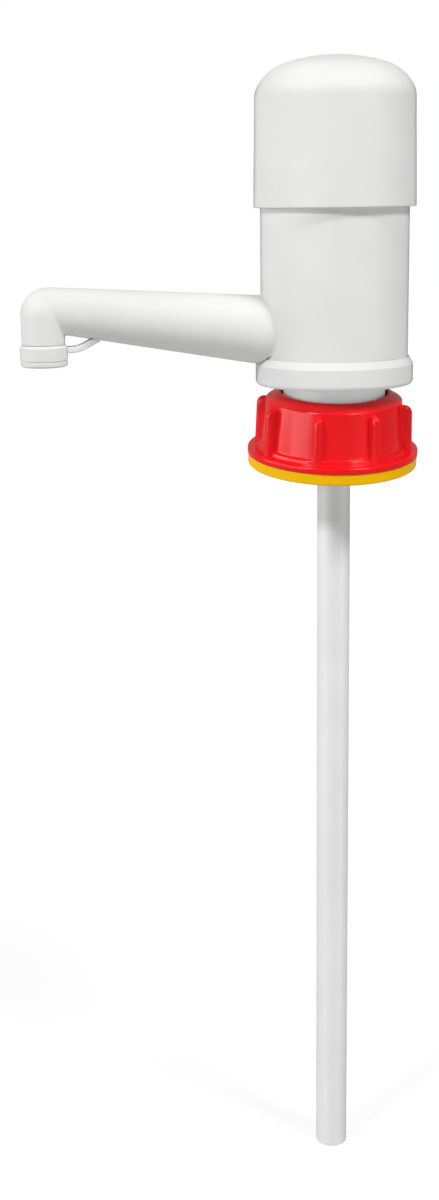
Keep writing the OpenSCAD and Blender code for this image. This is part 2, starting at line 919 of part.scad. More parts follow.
module union_nut() {
    rim = 0.6;
    edge = 0.7;
    brim = 0.8;
    corner = 0.8;
    cone_lean = atan2(nut_top - nut_edge_z, nut_wall_r - nut_hole_r - brim);
    skirt_low = flange_under - ring_h + 1.4;
    color(red)
    nut_place()
    union() {
        turned(concat(
            [
                [nut_hole_r, nut_under],
                [nut_hole_r, nut_top],
                [nut_hole_r + brim, nut_top]
            ],
            arc([nut_wall_r - edge, nut_edge_z - edge], edge, 90 - cone_lean, 0, 4),
            [
                [nut_foot_r, flange_z + 1.8],
                [nut_foot_r + 1.1, flange_z + 1.4],
                [nut_foot_r + 1.4, flange_z]
            ],
            arc([nut_flange_r - rim, flange_z - rim], rim, 90, 0, 4),
            [
                [nut_flange_r, flange_under],
                [nut_foot_r, flange_under],
                [nut_foot_r, skirt_low],
                [thread_r, skirt_low],
                [thread_r, nut_under - corner],
                [thread_r - corner, nut_under]
            ]
        ));
        for (i = [0 : 1])
            thread_ridge(thread_from - i * thread_pitch);
        for (i = [0 : rib_count - 1])
            rotate([0, 0, rib_phase + i * 360 / rib_count])
                nut_rib();
    }
}

// One turn of thread inside the screw cap, with its crest at height z
module thread_ridge(z) {
    base = 1.6;
    crest = 0.5;
    turned([
        [thread_r + 0.5, z - base],
        [thread_r, z - base],
        [crest_r, z - crest],
        [crest_r, z + crest],
        [thread_r, z + base],
        [thread_r + 0.5, z + base]
    ]);
}

module tamper_ring() {
    edge = 0.6;
    low = flange_under - ring_h;
    color(yellow)
    nut_place()
    turned(concat(
        [[nut_foot_r + face_gap, flange_under - face_gap], [nut_foot_r + face_gap, low]],
        arc([ring_r - edge, low + edge], edge, -90, 0, 4),
        [[ring_r, flange_under - face_gap]]
    ));
}

module dip_tube() {
    bore_r = tube_r - tube_wall;
    color(natural)
    difference() {
        union() {
            translate([0, 0, -tube_l])
                cylinder(h = tube_l - socket_l - face_gap, r = tube_r);
            translate([0, 0, -tube_l])
                cylinder(h = tube_l + tube_stop - face_gap, r = tube_end_r);
        }
        translate([0, 0, -tube_l - over])
            cylinder(h = tube_l + tube_stop + 2 * over, r = bore_r);
    }
}

echo(return_spring_least_gap = coil_gap(spring_turns, spring_l, spring_r, spring_wire, 8));
echo(outlet_spring_least_gap = coil_gap(4, valve_spring_l, valve_spring_r, valve_wire, 8));

push_cap();
piston_rod();
piston();
piston_seal();
piston_band();
piston_screw();
return_spring();
spring_seat();
body_shell();
pump_barrel();
barrel_head();
rod_wiper();
barrel_seal();
base_collar();
base_seal();
inlet_neck();
neck_clip();
inlet_cage();
inlet_ball();
spout();
spout_seal();
outlet_seat();
outlet_ball();
outlet_spring();
outlet_cap();
cap_liner();
cap_strap();
strap_stud();
flat_gasket();
slip_washer();
union_nut();
tamper_ring();
dip_tube();
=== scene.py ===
"""Looks of a hand pump for canisters: white push head, body and side spout, red screw cap, long dip tube."""

import math

import bmesh
import bpy
import numpy as np
from mathutils import Matrix, Vector


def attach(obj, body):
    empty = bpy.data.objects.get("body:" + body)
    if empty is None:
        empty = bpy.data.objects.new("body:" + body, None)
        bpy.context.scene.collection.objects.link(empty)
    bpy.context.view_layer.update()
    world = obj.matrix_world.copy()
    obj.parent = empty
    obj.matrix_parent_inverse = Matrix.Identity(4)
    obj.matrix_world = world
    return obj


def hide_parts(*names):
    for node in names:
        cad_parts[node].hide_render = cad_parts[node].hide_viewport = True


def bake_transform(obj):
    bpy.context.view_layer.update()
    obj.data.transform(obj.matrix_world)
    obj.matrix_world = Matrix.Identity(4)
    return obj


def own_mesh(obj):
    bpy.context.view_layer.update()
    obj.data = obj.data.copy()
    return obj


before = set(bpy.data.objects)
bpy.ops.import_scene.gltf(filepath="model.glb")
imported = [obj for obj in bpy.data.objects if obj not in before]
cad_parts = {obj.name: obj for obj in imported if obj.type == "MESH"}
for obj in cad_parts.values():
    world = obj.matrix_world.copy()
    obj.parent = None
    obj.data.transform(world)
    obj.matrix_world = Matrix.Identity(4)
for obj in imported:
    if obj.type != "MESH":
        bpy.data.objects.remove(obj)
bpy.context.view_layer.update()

MM = 0.001

# Sizes in millimetres, most of them the same as the solids'
FACE_GAP, SEAT_GAP, TRIM_GAP = 0.05, 0.3, 0.25
BODY_R = 29.5
BODY_FACE_R = 29.3
SHELL_IN_R = 27.1
SHELL_LOW, SHELL_TOP = 19.0, 95.9
LEDGE_Z, LEDGE_W = 57.9, 2.2
CAP_R, CAP_TOP_R, CAP_IN_R = 31.9, 31.3, 29.9
SKIRT_Z, CROWN_Z = 84.9, 141.9
CROWN_ROUND, SHOULDER_ROUND, DOME_WALL = 67.0, 11.3, 2.5
DOME_Z, DOME_BREAK = 128.0, math.radians(20)
BOSS_Z, ROD_R = 126.9, 6.0
COLLAR_R, COLLAR_Z, COLLAR_EDGE, COLLAR_TOP = 31.45, 16.0, 24.1, 27.5
NECK_R, NECK_TOP_R, NECK_TOP, NECK_WALL = 20.45, 18.5, 23.0, 3.0
CLIP_R, CLIP_LOW, CLIP_TOP = 17.2, 19.05, 20.65
CUP_R, CUP_FLOOR, CAGE_R, CAGE_FLOOR = 15.5, 17.0, 8.0, 9.0
INLET_SEAT_R, INLET_R, VENT_Z = 4.6, 3.8, 12.9
FLANGE_R, GASKET_TOP, FLANGE_TOP = 24.3, 2.5, 5.5
SOCKET_R, SOCKET_LOW, SOCKET_END, SOCKET_TOP = 11.0, -12.0, 2.0, 13.0
TUBE_R, TUBE_END_R, TUBE_BORE, TUBE_LOW = 6.7, 6.5, 5.2, -323.0
THREAD_R, CREST_R, PITCH = 25.9, 24.6, 6.0
NUT_HOLE_R, NUT_WALL_R, NUT_FOOT_R, NUT_FLANGE_R = 21.4, 27.4, 28.9, 34.5
NUT_UNDER, NUT_TOP, NUT_EDGE, FLANGE_Z, FLANGE_LOW = 6.4, 9.8, 6.9, -13.0, -15.6
RIB_R, RIB_W, RIB_COUNT, RIB_PHASE = 31.9, 3.6, 8, 21.5
NUT_TILT, NUT_PIVOT = math.radians(7.0), (0, -26.2, 9.7024)
RING_R, RING_LOW = 34.2, -20.0
PORT_Z, REACH, RISE = 37.9, 115.6, math.radians(6.6)
ROOT_R, TIP_R, OUTLET_R = 13.5, 8.55, 8.45
ELBOW_Z = PORT_Z + (REACH - BODY_R) * math.tan(RISE)
OUTLET_DROP = 13.6
SHOULDER_Z = ELBOW_Z - OUTLET_DROP
SPIGOT_R, SPIGOT_BORE = 7.7, 6.2
CLOSURE_R, CLOSURE_H, CLOSURE_FLOOR, LINER_T = 9.3, 8.4, 1.6, 0.8
CLOSURE_TOP = SHOULDER_Z - 2 * FACE_GAP
CLOSURE_LOW = CLOSURE_TOP - CLOSURE_H
SPIGOT_LOW = CLOSURE_LOW + CLOSURE_FLOOR + LINER_T + FACE_GAP
BEND_R, ARM_SLIM, SLIM_FROM, SLIM_RUN = 2.1, 0.17, 62.0, 40.0
ROOT_RUN, ROOT_SUNK, TRIM_SOFT = 19.6, 1.3, 1.1
STRAP_W, STRAP_T, STRAP_INSET, STRAP_REACH = 6.0, 2.4, 0.85, 4.0
STUD_BACK, STUD_R, STUD_DOWN, STUD_UP = 21.5, 0.9, 0.5, 2.2
SPRING_R, SPRING_WIRE, SPRING_LOW, SPRING_L, SPRING_TURNS = 24.05, 2.2, 60.2, 66.4, 8.5
END_TURN_GAP = 0.9
VALVE_SPRING_R, VALVE_WIRE, VALVE_S, VALVE_L, VALVE_TURNS = 4.2, 0.8, 29.07, 9.0, 4.0
PLUG_S, PLUG_L, PLUG_R, PLUG_BORE = 22.55, 5.2, 9.4, 6.4
CHAMBER_END = VALVE_S + VALVE_L + SEAT_GAP


# Outlines and meshes


def arc(cx, cz, r, a, b, n):
    """Points on an arc about (cx, cz), from angle a to angle b in degrees."""
    angles = np.radians(np.linspace(a, b, n + 1))
    return [(cx + r * math.cos(t), cz + r * math.sin(t)) for t in angles]


def softened(corners, steps=6, hold=0.22):
    """A closed outline from (r, z, rounding) corners: round corners, and a holding point beside each end of a
    straight run."""
    found = []
    count = len(corners)
    for i, corner in enumerate(corners):
        here = Vector(corner[:2])
        rounding = corner[2] if len(corner) > 2 else 0.0
        if rounding <= 0:
            found.append(tuple(here))
            continue
        back = Vector(corners[i - 1][:2]) - here
        ahead = Vector(corners[(i + 1) % count][:2]) - here
        angle = back.angle(ahead)
        reach = min(rounding / math.tan(angle / 2), 0.46 * back.length, 0.46 * ahead.length)
        start, end = here + back.normalized() * reach, here + ahead.normalized() * reach
        radius = reach * math.tan(angle / 2)
        centre = here + (back.normalized() + ahead.normalized()).normalized() * math.hypot(reach, radius)
        sweep = (start - centre).angle_signed(end - centre)
        for k in range(steps + 1):
            turn = Matrix.Rotation(-sweep * k / steps, 2)
            found.append(tuple(centre + turn @ (start - centre)))
    held = []
    for i, a in enumerate(found):
        b = found[(i + 1) % len(found)]
        length = math.dist(a, b)
        held.append(a)
        if length > 4 * hold and (a[0] > 1e-6 or b[0] > 1e-6):
            for share in (hold / length, 1 - hold / length):
                held.append((a[0] + (b[0] - a[0]) * share, a[1] + (b[1] - a[1]) * share))
    return held


def turned(bm, outline, segments, place=None):
    """Adds the solid that a closed outline of (radius, height) sweeps about its axis; place is a matrix in
    millimetres."""
    angles = [2 * math.pi * k / segments for k in range(segments)]
    rings = []
    for r, z in outline:
        if r < 1e-6:
            rings.append([bm.verts.new((0, 0, z))])
        else:
            rings.append([bm.verts.new((r * math.cos(a), r * math.sin(a), z)) for a in angles])
    join_rings(bm, rings, True)
    if place is not None:
        bmesh.ops.transform(bm, matrix=place, verts=[v for ring in rings for v in ring])


def join_rings(bm, rings, closed=False):
    """Skins a run of rings of the same count; a ring of one vertex is a pole."""
    pairs = list(zip(rings, rings[1:] + rings[:1])) if closed else list(zip(rings, rings[1:]))
    for a, b in pairs:
        if len(a) == 1 and len(b) == 1:
            continue
        n = max(len(a), len(b))
        for k in range(n):
            m = (k + 1) % n
            if len(a) == 1:
                bm.faces.new((a[0], b[m], b[k]))
            elif len(b) == 1:
                bm.faces.new((a[k], a[m], b[0]))
            else:
                bm.faces.new((a[k], a[m], b[m], b[k]))


def mesh_object(name, bm, sharp=32):
    """Turns millimetres into metres, closes and smooths the mesh, and links the object."""
    bmesh.ops.remove_doubles(bm, verts=bm.verts, dist=1e-5)
    bmesh.ops.recalc_face_normals(bm, faces=bm.faces)
    bmesh.ops.scale(bm, vec=(MM, MM, MM), verts=bm.verts)
    mesh = bpy.data.meshes.new(name)
    bm.to_mesh(mesh)
    bm.free()
    mesh.shade_smooth()
    mesh.set_sharp_from_angle(angle=math.radians(sharp))
    found = bpy.data.objects.new(name, mesh)
    bpy.context.scene.collection.objects.link(found)
    return found


def bored(piece, outline, place):
    """Cuts the solid that an outline sweeps out of a piece, and keeps the result as a plain mesh."""
    drill = bmesh.new()
    turned(drill, outline, 64, place)
    cutter = mesh_object("drill", drill)
    cut = piece.modifiers.new("bore", "BOOLEAN")
    cut.operation, cut.object, cut.solver = "DIFFERENCE", cutter, "EXACT"
    bpy.context.view_layer.update()
    mesh = bpy.data.meshes.new_from_object(piece.evaluated_get(bpy.context.evaluated_depsgraph_get()))
    piece.modifiers.clear()
    piece.data = mesh
    bpy.data.objects.remove(cutter)
    mesh.set_sharp_from_angle(angle=math.radians(32))
    return piece


def dressed(piece, material, slot, *nodes, body=None):
    """Gives a piece its material and its body, and hides the nodes that it stands for; slot is not used."""
    piece.data.materials.clear()
    piece.data.materials.append(material)
    if nodes:
        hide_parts(*nodes)
    if body:
        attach(piece, body)
    return piece


# Geometry Nodes


def node_tree(name, sizes, takes_mesh=False):
    """A new Geometry Nodes tree with named inputs; returns the tree, its input and its output."""
    tree = bpy.data.node_groups.new(name, "GeometryNodeTree")
    face = tree.interface
    if takes_mesh:
        face.new_socket("Geometry", in_out="INPUT", socket_type="NodeSocketGeometry")
    for label, kind, value in sizes:
        socket = face.new_socket(label, in_out="INPUT", socket_type=kind)
        if value is not None:
            socket.default_value = value
    face.new_socket("Geometry", in_out="OUTPUT", socket_type="NodeSocketGeometry")
    return tree, tree.nodes.new("NodeGroupInput"), tree.nodes.new("NodeGroupOutput")


def put(tree, kind, values=None, **settings):
    """A node with its settings and its socket values; a value that is a socket is linked."""
    node = tree.nodes.new(kind)
    for key, value in settings.items():
        setattr(node, key, value)
    for key, value in (values or {}).items():
        if isinstance(value, bpy.types.NodeSocket):
            tree.links.new(value, node.inputs[key])
        else:
            node.inputs[key].default_value = value
    return node


def grown(piece, tree, **values):
    """Runs a tree on a piece, with inputs set by their identifiers, and keeps the result as a plain mesh."""
    modifier = piece.modifiers.new(tree.name, "NODES")
    modifier.node_group = tree
    for item in tree.interface.items_tree:
        key = item.name.lower().replace(" ", "_")
        if item.in_out == "INPUT" and key in values:
            modifier[item.identifier] = values[key]
    bpy.context.view_layer.update()
    shown = piece.evaluated_get(bpy.context.evaluated_depsgraph_get())
    mesh = bpy.data.meshes.new_from_object(shown)
    piece.modifiers.clear()
    piece.data = mesh
    return piece


def ended(tree, geometry, material, out):
    """Ends a tree in Realize Instances and Set Material."""
    real = put(tree, "GeometryNodeRealizeInstances", {"Geometry": geometry})
    coat = put(tree, "GeometryNodeSetMaterial", {"Geometry": real.outputs[0], "Material": material})
    tree.links.new(coat.outputs[0], out.inputs[0])


def coil_tree():
    """A wire wound about Z from z = 0, with one close turn at each end."""
    tree, given, out = node_tree("wound_wire", [
        ("Turns", "NodeSocketFloat", 8.5),
        ("Length", "NodeSocketFloat", 0.0664),
        ("Radius", "NodeSocketFloat", 0.024),
        ("Wire", "NodeSocketFloat", 0.0022),
        ("End Pitch", "NodeSocketFloat", 0.0031),
        ("Finish", "NodeSocketMaterial", None),
    ])
    sizes = given.outputs
    line = put(tree, "GeometryNodeCurveSpiral", {
        "Resolution": 36, "Rotations": sizes["Turns"], "Start Radius": sizes["Radius"],
        "End Radius": sizes["Radius"], "Height": 0.0, "Reverse": False,
    })
    along = put(tree, "GeometryNodeSplineParameter")
    first = put(tree, "ShaderNodeMath", {0: 1.0, 1: sizes["Turns"]}, operation="DIVIDE")
    last = put(tree, "ShaderNodeMath", {0: 1.0, 1: first.outputs[0]}, operation="SUBTRACT")
    ends = put(tree, "ShaderNodeMath", {0: sizes["End Pitch"], 1: 2.0}, operation="MULTIPLY")
    clear = put(tree, "ShaderNodeMath", {0: sizes["Length"], 1: sizes["Wire"]}, operation="SUBTRACT")
    middle = put(tree, "ShaderNodeMath", {0: clear.outputs[0], 1: ends.outputs[0]}, operation="SUBTRACT")
    half = put(tree, "ShaderNodeMath", {0: sizes["Wire"], 1: 0.5}, operation="MULTIPLY")
    total = half.outputs[0]
    for low, high, rise in (
        (0.0, first.outputs[0], sizes["End Pitch"]),
        (first.outputs[0], last.outputs[0], middle.outputs[0]),
        (last.outputs[0], 1.0, sizes["End Pitch"]),
    ):
        part = put(tree, "ShaderNodeMapRange", {
            "Value": along.outputs["Factor"], "From Min": low, "From Max": high,
            "To Min": 0.0, "To Max": rise,
        })
        total = put(tree, "ShaderNodeMath", {0: total, 1: part.outputs[0]}, operation="ADD").outputs[0]
    lift = put(tree, "ShaderNodeCombineXYZ", {"Z": total})
    wound = put(tree, "GeometryNodeSetPosition", {"Geometry": line.outputs[0], "Offset": lift.outputs[0]})
    section = put(tree, "GeometryNodeCurvePrimitiveCircle", {"Resolution": 14, "Radius": half.outputs[0]})
    wire = put(tree, "GeometryNodeCurveToMesh", {
        "Curve": wound.outputs[0], "Profile Curve": section.outputs[0], "Fill Caps": True,
    })
    ended(tree, wire.outputs[0], sizes["Finish"], out)
    return tree


def screw_cap_tree():
    """Adds the ring of grip ribs and the running thread to a turned screw cap."""
    tree, given, out = node_tree("screw_cap_grip", [
        ("Rib", "NodeSocketObject", None),
        ("Rib Count", "NodeSocketInt", 8),
        ("Rib Phase", "NodeSocketFloat", 0.0),
        ("Thread", "NodeSocketObject", None),
        ("Finish", "NodeSocketMaterial", None),
    ], takes_mesh=True)
    sizes = given.outputs
    spots = put(tree, "GeometryNodePoints", {
        "Count": sizes["Rib Count"], "Position": (0, 0, 0), "Radius": 0.001,
    })
    number = put(tree, "GeometryNodeInputIndex")
    step = put(tree, "ShaderNodeMath", {0: 2 * math.pi, 1: sizes["Rib Count"]}, operation="DIVIDE")
    turn = put(tree, "ShaderNodeMath", {
        0: number.outputs[0], 1: step.outputs[0], 2: sizes["Rib Phase"],
    }, operation="MULTIPLY_ADD")
    face = put(tree, "ShaderNodeCombineXYZ", {"Z": turn.outputs[0]})
    rib = put(tree, "GeometryNodeObjectInfo", {"Object": sizes["Rib"]})
    ribs = put(tree, "GeometryNodeInstanceOnPoints", {
        "Points": spots.outputs[0], "Instance": rib.outputs["Geometry"], "Rotation": face.outputs[0],
    })
    thread = put(tree, "GeometryNodeObjectInfo", {"Object": sizes["Thread"]})
    both = put(tree, "GeometryNodeJoinGeometry")
    for found in (given.outputs["Geometry"], ribs.outputs[0], thread.outputs["Geometry"]):
        tree.links.new(found, both.inputs[0])
    ended(tree, both.outputs[0], sizes["Finish"], out)
    return tree


# Materials


def moulded_group():
    """Shared surface of moulded plastic: slow clouds in its colour, fine grain in its gloss and height."""
    group = bpy.data.node_groups.new("moulded_surface", "ShaderNodeTree")
    face = group.interface
    for label, kind, value in (
        ("Main", "NodeSocketColor", (0.8, 0.8, 0.8, 1)),
        ("Deep", "NodeSocketColor", (0.7, 0.7, 0.7, 1)),
        ("Cloud Scale", "NodeSocketFloat", 45.0),
        ("Grain Scale", "NodeSocketFloat", 1400.0),
        ("Gloss", "NodeSocketFloat", 0.35),
        ("Gloss Spread", "NodeSocketFloat", 0.1),
    ):
        face.new_socket(label, in_out="INPUT", socket_type=kind).default_value = value
    for label, kind in (
        ("Color", "NodeSocketColor"), ("Roughness", "NodeSocketFloat"), ("Height", "NodeSocketFloat"),
    ):
        face.new_socket(label, in_out="OUTPUT", socket_type=kind)
    given, out = group.nodes.new("NodeGroupInput"), group.nodes.new("NodeGroupOutput")
    sizes = given.outputs
    where = put(group, "ShaderNodeTexCoord")
    spot = where.outputs["Object"]
    cloud = put(group, "ShaderNodeTexNoise", {"Vector": spot, "Scale": sizes["Cloud Scale"], "Detail": 3.0})
    share = put(group, "ShaderNodeMapRange", {"Value": cloud.outputs[0], "From Min": 0.35, "From Max": 0.65})
    tint = put(group, "ShaderNodeMix", {
        0: share.outputs[0], 6: sizes["Main"], 7: sizes["Deep"],
    }, data_type="RGBA")
    group.links.new(tint.outputs[2], out.inputs["Color"])
    grain = put(group, "ShaderNodeTexNoise", {"Vector": spot, "Scale": sizes["Grain Scale"], "Detail": 2.0})
    middle = put(group, "ShaderNodeMath", {0: grain.outputs[0], 1: 0.5}, operation="SUBTRACT")
    rough = put(group, "ShaderNodeMath", {
        0: middle.outputs[0], 1: sizes["Gloss Spread"], 2: sizes["Gloss"],
    }, operation="MULTIPLY_ADD")
    group.links.new(rough.outputs[0], out.inputs["Roughness"])
    wave = put(group, "ShaderNodeTexNoise", {"Vector": spot, "Scale": 160.0, "Detail": 1.0})
    height = put(group, "ShaderNodeMath", {
        0: wave.outputs[0], 1: 0.6, 2: grain.outputs[0],
    }, operation="MULTIPLY_ADD")
    group.links.new(height.outputs[0], out.inputs["Height"])
    return group


def finish(
    name, group, main, deep, gloss, spread=0.1, grain=1400.0, cloud=45.0, bump=0.04,
    rim_shade=None, bounce=None, highlight_bands=None, **surface,
):
    """A material on the shared surface group; rim is the share of its colour kept on upright faces at grazing
    view, which paints shade along the outlines; bounce its colour for diffuse light; and bands its colour's
    share from a tube's middle to its edges, which paints highlights."""
    material = bpy.data.materials.new(name)
    material.use_nodes = True
    tree = material.node_tree
    shader = tree.nodes["Principled BSDF"]
    skin = put(tree, "ShaderNodeGroup", node_tree=group)
    for label, value in (
        ("Main", (*main, 1)), ("Deep", (*deep, 1)), ("Cloud Scale", cloud), ("Grain Scale", grain),
        ("Gloss", gloss), ("Gloss Spread", spread),
    ):
        skin.inputs[label].default_value = value
    colour = skin.outputs["Color"]
    # Painted shade: upright faces seen at grazing view darken towards black by the rim share
    if rim_shade is not None:
        edge = put(tree, "ShaderNodeLayerWeight", {"Blend": 0.5})
        share = put(tree, "ShaderNodeMapRange", {
            "Value": edge.outputs["Facing"], "From Min": 0.70, "From Max": 0.98,
            "To Min": 0.0, "To Max": 1.0 - rim_shade,
        }, interpolation_type="SMOOTHSTEP")
        way = put(tree, "ShaderNodeTexCoord")
        parts = put(tree, "ShaderNodeSeparateXYZ", {0: way.outputs["Normal"]})
        tall = put(tree, "ShaderNodeMath", {0: parts.outputs["Z"]}, operation="ABSOLUTE")
        upright = put(tree, "ShaderNodeMapRange", {
            "Value": tall.outputs[0], "From Min": 0.2, "From Max": 0.75, "To Min": 1.0, "To Max": 0.0,
        }, interpolation_type="SMOOTHSTEP")
        both = put(tree, "ShaderNodeMath", {0: share.outputs[0], 1: upright.outputs[0]}, operation="MULTIPLY")
        shade = put(tree, "ShaderNodeMix", {0: both.outputs[0], 6: colour, 7: (0, 0, 0, 1)}, data_type="RGBA")
        colour = shade.outputs[2]
    # Painted highlights: a ramp on the facing scales the colour, lighter beside a tube's middle than at its
    # middle and its edges
    if highlight_bands is not None:
        edge = put(tree, "ShaderNodeLayerWeight", {"Blend": 0.5})
        ramp = put(tree, "ShaderNodeValToRGB", {0: edge.outputs["Facing"]})
        stops = ramp.color_ramp.elements
        while len(stops) < len(highlight_bands):
            stops.new(0.5)
        for stop, (at, share) in zip(stops, highlight_bands):
            stop.position, stop.color = at, (share, share, share, 1)
        tone = put(tree, "ShaderNodeMix", {
            0: 1.0, 6: colour, 7: ramp.outputs[0],
        }, data_type="RGBA", blend_type="MULTIPLY")
        colour = tone.outputs[2]
    if bounce is not None:
        path = put(tree, "ShaderNodeLightPath")
        swap = put(tree, "ShaderNodeMix", {
            0: path.outputs["Is Diffuse Ray"], 6: colour, 7: (*bounce, 1),
        }, data_type="RGBA")
        colour = swap.outputs[2]
    tree.links.new(colour, shader.inputs["Base Color"])
    tree.links.new(skin.outputs["Roughness"], shader.inputs["Roughness"])
    relief = put(tree, "ShaderNodeBump", {
        "Strength": bump, "Distance": 0.0002, "Height": skin.outputs["Height"],
    })
    tree.links.new(relief.outputs[0], shader.inputs["Normal"])
    for label, value in surface.items():
        shader.inputs[label.replace("_", " ")].default_value = value
    return material


surface = moulded_group()
# rim paints shade along the outlines of the white and the natural plastic
white_plastic = finish(
    "white_plastic", surface, (0.83, 0.83, 0.825), (0.805, 0.805, 0.80), 0.44,
    rim_shade=0.55, Specular_IOR_Level=0.1)
natural_plastic = finish(
    "natural_plastic", surface, (0.80, 0.805, 0.80), (0.77, 0.775, 0.77), 0.26,
    rim_shade=0.8, Specular_IOR_Level=0.4)
# The dip tube's paler copy of the natural plastic: painted light, with painted highlights beside its middle
tube_plastic = finish(
    "tube_plastic", surface, (0.93, 0.935, 0.93), (0.90, 0.905, 0.90), 0.28, Specular_IOR_Level=0.15,
    highlight_bands=((0.0, 0.90), (0.2, 1.0), (0.5, 0.97), (0.85, 0.92)))
# The neck's paler copy of the white plastic: painted light that brightens the neck where it sits in shade
# under the collar
neck_plastic = finish(
    "neck_plastic", surface, (0.93, 0.93, 0.93), (0.90, 0.90, 0.90), 0.36, Specular_IOR_Level=0.3)
red_plastic = finish(
    "red_plastic", surface, (0.90, 0.004, 0.008), (0.85, 0.003, 0.006), 0.19, spread=0.06,
    grain=1100.0, bounce=(0.9, 0.87, 0.86), Specular_IOR_Level=0.3)
yellow_plastic = finish(
    "yellow_plastic", surface, (1.0, 0.56, 0.001), (0.96, 0.53, 0.001), 0.3,
    grain=1100.0, bounce=(0.85, 0.82, 0.78), Specular_IOR_Level=0.07)
bright_steel = finish(
    "bright_steel", surface, (0.62, 0.63, 0.65), (0.52, 0.53, 0.55), 0.28,
    spread=0.25, grain=2600.0, Metallic=1.0)
black_rubber = finish(
    "black_rubber", surface, (0.022, 0.022, 0.023), (0.032, 0.031, 0.030), 0.62, grain=1900.0, bump=0.12)


# Push head and body


def push_head():
    """The domed head: its shoulder breaks from the skirt at an angle and runs smoothly into the crown."""
    crown_low = CROWN_Z - CROWN_ROUND
    c, w = math.cos(DOME_BREAK), math.sin(DOME_BREAK)
    up = DOME_Z - crown_low
    shoulder = (CROWN_ROUND**2 - CAP_TOP_R**2 - up**2) / (2 * (CROWN_ROUND - CAP_TOP_R * c - up * w))
    middle = (CAP_TOP_R - shoulder * c, DOME_Z - shoulder * w)
    lean = math.atan2(middle[0], middle[1] - crown_low)
    dome = arc(*middle, shoulder, math.degrees(DOME_BREAK) + 6, 90 - math.degrees(lean), 28)
    base = DOME_Z - 1.1
    crown = [
        (CROWN_ROUND * math.sin(t), CROWN_Z - CROWN_ROUND + CROWN_ROUND * math.cos(t))
        for t in np.linspace(lean, 0, 26)[1:]
    ]
    crown[-1] = (0.0, CROWN_Z)
    inner_top = CROWN_Z - DOME_WALL
    inner_round = SHOULDER_ROUND - 1.6
    rod_hole, boss = ROD_R + FACE_GAP, ROD_R + 4.0
    inside = [(0.0, inner_top - 3.0), (rod_hole, inner_top - 3.0), (rod_hole, BOSS_Z), (boss, BOSS_Z)]
    inside += [(boss, inner_top - 1.0), (19.0, inner_top - 3.2)]
    inside += arc(CAP_IN_R - inner_round, base - 1.0, inner_round, 62, 0, 10)
    inside += [(CAP_IN_R, 110.0), (CAP_IN_R, SKIRT_Z + 0.7)]
    lip = arc(CAP_IN_R + 0.4, SKIRT_Z + 0.4, 0.4, 180, 270, 5)
    lip += [(CAP_R - 1.0 + x, SKIRT_Z + 0.45 + 0.45 * z) for x, z in arc(0, 0, 1, -90, 0, 9)]
    skirt = [(CAP_R - 0.004, SKIRT_Z + 1.6), (CAP_R - 0.08, SKIRT_Z + 9.0), (CAP_TOP_R + 0.08, DOME_Z - 9.0)]
    low, corner, high = Vector((CAP_TOP_R + 0.02, DOME_Z - 2.0)), Vector((CAP_TOP_R, DOME_Z)), Vector(dome[0])
    for u in np.linspace(0, 1, 11)[:-1]:
        skirt.append(tuple((1 - u) ** 2 * low + 2 * u * (1 - u) * corner + u * u * high))
    bm = bmesh.new()
    turned(bm, inside + lip + skirt + dome + crown, 180)
    return dressed(mesh_object("push_head", bm), white_plastic, "white_plastic", "push_cap", body="plunger")


def outwards(s):
    """Turns +Z outwards along the spout, from station s at the port's height."""
    return Matrix.Translation((-s, 0, PORT_Z)) @ Matrix.Rotation(-math.pi / 2, 4, "Y")


def body_tube():
    """The plain tube under the skirt, with the barrel head's ledge and the port for the spout's plug."""
    bm = bmesh.new()
    turned(bm, softened([
        (SHELL_IN_R, SHELL_LOW), (BODY_FACE_R, SHELL_LOW), (BODY_FACE_R, SHELL_TOP, 0.8),
        (SHELL_IN_R, SHELL_TOP, 0.4),
        (SHELL_IN_R, LEDGE_Z), (SHELL_IN_R - LEDGE_W, LEDGE_Z, 0.3), (SHELL_IN_R - LEDGE_W, LEDGE_Z - 1.0),
        (SHELL_IN_R, LEDGE_Z - 1.0 - LEDGE_W),
    ]), 180)
    port_r, port_l = PLUG_R + FACE_GAP, 9.0
    port = [(0, 0), (port_r, 0), (port_r, port_l), (0, port_l)]
    piece = bored(mesh_object("body_tube", bm), port, outwards(PLUG_S))
    return dressed(piece, white_plastic, "white_plastic", "body_shell", body="pump_body")


def foot_collar():
    """The wider ring at the body's foot, with its bevel on top."""
    bm = bmesh.new()
    turned(bm, softened([
        (NECK_TOP_R + 0.1, COLLAR_Z), (COLLAR_R, COLLAR_Z, 1.7), (COLLAR_R, COLLAR_EDGE, 0.45),
        (BODY_R + 0.1, COLLAR_TOP, 0.2), (BODY_R + 0.1, SHELL_LOW), (NECK_TOP_R + 0.1, SHELL_LOW),
    ], steps=8), 180)
    piece = mesh_object("foot_collar", bm)
    return dressed(piece, white_plastic, "white_plastic", "base_collar", body="pump_body")


